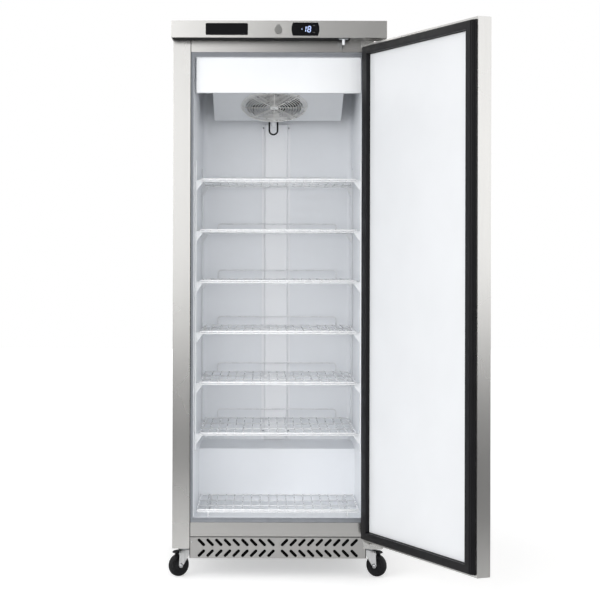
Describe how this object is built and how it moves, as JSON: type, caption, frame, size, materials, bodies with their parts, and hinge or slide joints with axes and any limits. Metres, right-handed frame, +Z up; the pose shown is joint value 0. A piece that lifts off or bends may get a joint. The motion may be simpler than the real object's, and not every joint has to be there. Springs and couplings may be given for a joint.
{
  "type": "upright freezer",
  "caption": "Tall single-door freezer in stainless sheet on castors, with hung wire shelves, a fan evaporator at the top and a machine bay at the back.",
  "frame": {"origin": "on the floor, under the middle of the cabinet body", "axes": "+Z up, -Y out of the front opening, +X towards the hinge side"},
  "size_m": [0.9827, 1.3854, 1.849],
  "materials": {
    "stainless": "satin",
    "galvanised": "satin",
    "zinc_plate": "satin",
    "white_coat": "satin",
    "white_plastic": "satin",
    "grey_plastic": "satin",
    "foam": "matte",
    "black_plastic": "gloss",
    "gasket_rubber": "matte",
    "tyre_rubber": "matte",
    "guard_steel": "satin",
    "fin_aluminium": "satin",
    "copper": "satin",
    "black_paint": "satin"
  },
  "bodies": {
    "cabinet": {"side_panel_left": "stainless", "side_panel_right": "stainless", "top_panel": "galvanised", "back_panel": "galvanised", "header_rail": "stainless", "sill_rail": "stainless", "base_pan": "galvanised", "breaker_strip": "grey_plastic", "liner": "white_plastic", "cabinet_insulation": "foam", "canopy": "stainless", "badge_plate": "black_plastic", "controller": "black_plastic", "lock_housing": "zinc_plate", "door_switch_case": "grey_plastic", "evaporator_cover": "white_coat", "evaporator_pan": "white_coat", "evaporator_coil": "fin_aluminium", "evaporator_fan_motor": "black_paint", "fan_guard": "guard_steel", "drain_hose": "gasket_rubber", "air_duct": "white_plastic", "shelf_rail_left_front": "white_coat", "shelf_rail_right_front": "white_coat", "shelf_rail_left_rear": "white_coat", "shelf_rail_right_rear": "white_coat", "kick_panel": "stainless", "compressor": "black_paint", "condenser": "black_paint", "condenser_fan_shroud": "black_paint", "filter_drier": "copper", "drip_tray": "black_plastic", "rear_grille": "galvanised", "hinge_bracket_top": "stainless", "hinge_bracket_bottom": "stainless"},
    "door": {"door_shell": "stainless", "door_insulation": "foam", "door_gasket": "gasket_rubber", "door_liner": "white_plastic"},
    "lock_barrel": {"lock_barrel": "zinc_plate"},
    "door_switch_plunger": {"door_switch_plunger": "white_plastic"},
    "evaporator_fan": {"evaporator_fan_blades": "grey_plastic"},
    "condenser_fan": {"condenser_fan_blades": "grey_plastic"},
    "shelf_1": {"shelf_1": "white_coat"},
    "shelf_2": {"shelf_2": "white_coat"},
    "shelf_3": {"shelf_3": "white_coat"},
    "shelf_4": {"shelf_4": "white_coat"},
    "shelf_5": {"shelf_5": "white_coat"},
    "shelf_6": {"shelf_6": "white_coat"},
    "bottom_shelf": {"bottom_shelf": "white_coat"},
    "castor_front_left": {"castor_fork_front_left": "zinc_plate"},
    "castor_wheel_front_left": {"castor_wheel_front_left": "tyre_rubber"},
    "brake_pedal_front_left": {"brake_pedal_front_left": "black_plastic"},
    "castor_front_right": {"castor_fork_front_right": "zinc_plate"},
    "castor_wheel_front_right": {"castor_wheel_front_right": "tyre_rubber"},
    "brake_pedal_front_right": {"brake_pedal_front_right": "black_plastic"},
    "castor_rear_left": {"castor_fork_rear_left": "zinc_plate"},
    "castor_wheel_rear_left": {"castor_wheel_rear_left": "tyre_rubber"},
    "castor_rear_right": {"castor_fork_rear_right": "zinc_plate"},
    "castor_wheel_rear_right": {"castor_wheel_rear_right": "tyre_rubber"}
  },
  "joints": [
    {"name": "door_hinge", "type": "hinge", "parent": "cabinet", "child": "door", "pos_m": [0.322, -0.401, 0.95], "axis": [0, 0, 1], "range_deg": [-114.6, 5.4]},
    {"name": "lock_turn", "type": "hinge", "parent": "cabinet", "child": "lock_barrel", "pos_m": [-0.0026, -0.4233, 1.819], "axis": [0, -1, 0], "range_deg": [0, 90]},
    {"name": "door_switch_press", "type": "slide", "parent": "cabinet", "child": "door_switch_plunger", "axis": [0, 0, 1], "range_m": [-0.0005, 0.0042]},
    {"name": "evaporator_fan_spin", "type": "hinge", "parent": "cabinet", "child": "evaporator_fan", "pos_m": [-0.013, -0.024, 1.60642], "axis": [0, 0.3584, 0.9336], "continuous": true},
    {"name": "condenser_fan_spin", "type": "hinge", "parent": "cabinet", "child": "condenser_fan", "pos_m": [-0.175, 0.1733, 0.2018], "axis": [0, 1, 0], "continuous": true},
    {"name": "shelf_1_slide", "type": "slide", "parent": "cabinet", "child": "shelf_1", "axis": [0, -1, 0], "range_m": [0, 0.4]},
    {"name": "shelf_2_slide", "type": "slide", "parent": "cabinet", "child": "shelf_2", "axis": [0, -1, 0], "range_m": [0, 0.4]},
    {"name": "shelf_3_slide", "type": "slide", "parent": "cabinet", "child": "shelf_3", "axis": [0, -1, 0], "range_m": [0, 0.4]},
    {"name": "shelf_4_slide", "type": "slide", "parent": "cabinet", "child": "shelf_4", "axis": [0, -1, 0], "range_m": [0, 0.4]},
    {"name": "shelf_5_slide", "type": "slide", "parent": "cabinet", "child": "shelf_5", "axis": [0, -1, 0], "range_m": [0, 0.4]},
    {"name": "shelf_6_slide", "type": "slide", "parent": "cabinet", "child": "shelf_6", "axis": [0, -1, 0], "range_m": [0, 0.4]},
    {"name": "bottom_shelf_slide", "type": "slide", "parent": "cabinet", "child": "bottom_shelf", "axis": [0, -1, 0], "range_m": [0, 0.36]},
    {"name": "castor_front_left_swivel", "type": "hinge", "parent": "cabinet", "child": "castor_front_left", "pos_m": [-0.315, -0.288, 0.087], "axis": [0, 0, 1], "continuous": true},
    {"name": "castor_front_left_roll", "type": "hinge", "parent": "castor_front_left", "child": "castor_wheel_front_left", "pos_m": [-0.33234, -0.30155, 0.0375], "axis": [0.6157, -0.788, 0], "continuous": true},
    {"name": "brake_pedal_front_left_press", "type": "hinge", "parent": "castor_front_left", "child": "brake_pedal_front_left", "pos_m": [-0.33391, -0.30278, 0.0827], "axis": [0.6157, -0.788, 0], "range_deg": [0, 18]},
    {"name": "castor_front_right_swivel", "type": "hinge", "parent": "cabinet", "child": "castor_front_right", "pos_m": [0.315, -0.288, 0.087], "axis": [0, 0, 1], "continuous": true},
    {"name": "castor_front_right_roll", "type": "hinge", "parent": "castor_front_right", "child": "castor_wheel_front_right", "pos_m": [0.33234, -0.30155, 0.0375], "axis": [0.6157, 0.788, 0], "continuous": true},
    {"name": "brake_pedal_front_right_press", "type": "hinge", "parent": "castor_front_right", "child": "brake_pedal_front_right", "pos_m": [0.33391, -0.30278, 0.0827], "axis": [0.6157, 0.788, 0], "range_deg": [0, 18]},
    {"name": "castor_rear_left_swivel", "type": "hinge", "parent": "cabinet", "child": "castor_rear_left", "pos_m": [-0.315, 0.288, 0.087], "axis": [0, 0, 1], "continuous": true},
    {"name": "castor_rear_left_roll", "type": "hinge", "parent": "castor_rear_left", "child": "castor_wheel_rear_left", "pos_m": [-0.315, 0.31, 0.0375], "axis": [-1, 0, 0], "continuous": true},
    {"name": "castor_rear_right_swivel", "type": "hinge", "parent": "cabinet", "child": "castor_rear_right", "pos_m": [0.315, 0.288, 0.087], "axis": [0, 0, 1], "continuous": true},
    {"name": "castor_rear_right_roll", "type": "hinge", "parent": "castor_rear_right", "child": "castor_wheel_rear_right", "pos_m": [0.315, 0.31, 0.0375], "axis": [-1, 0, 0], "continuous": true}
  ],
  "couplings": [
    {"joint": "door_switch_press", "follows": "door_hinge", "m_per_rad": -0.002}
  ]
}
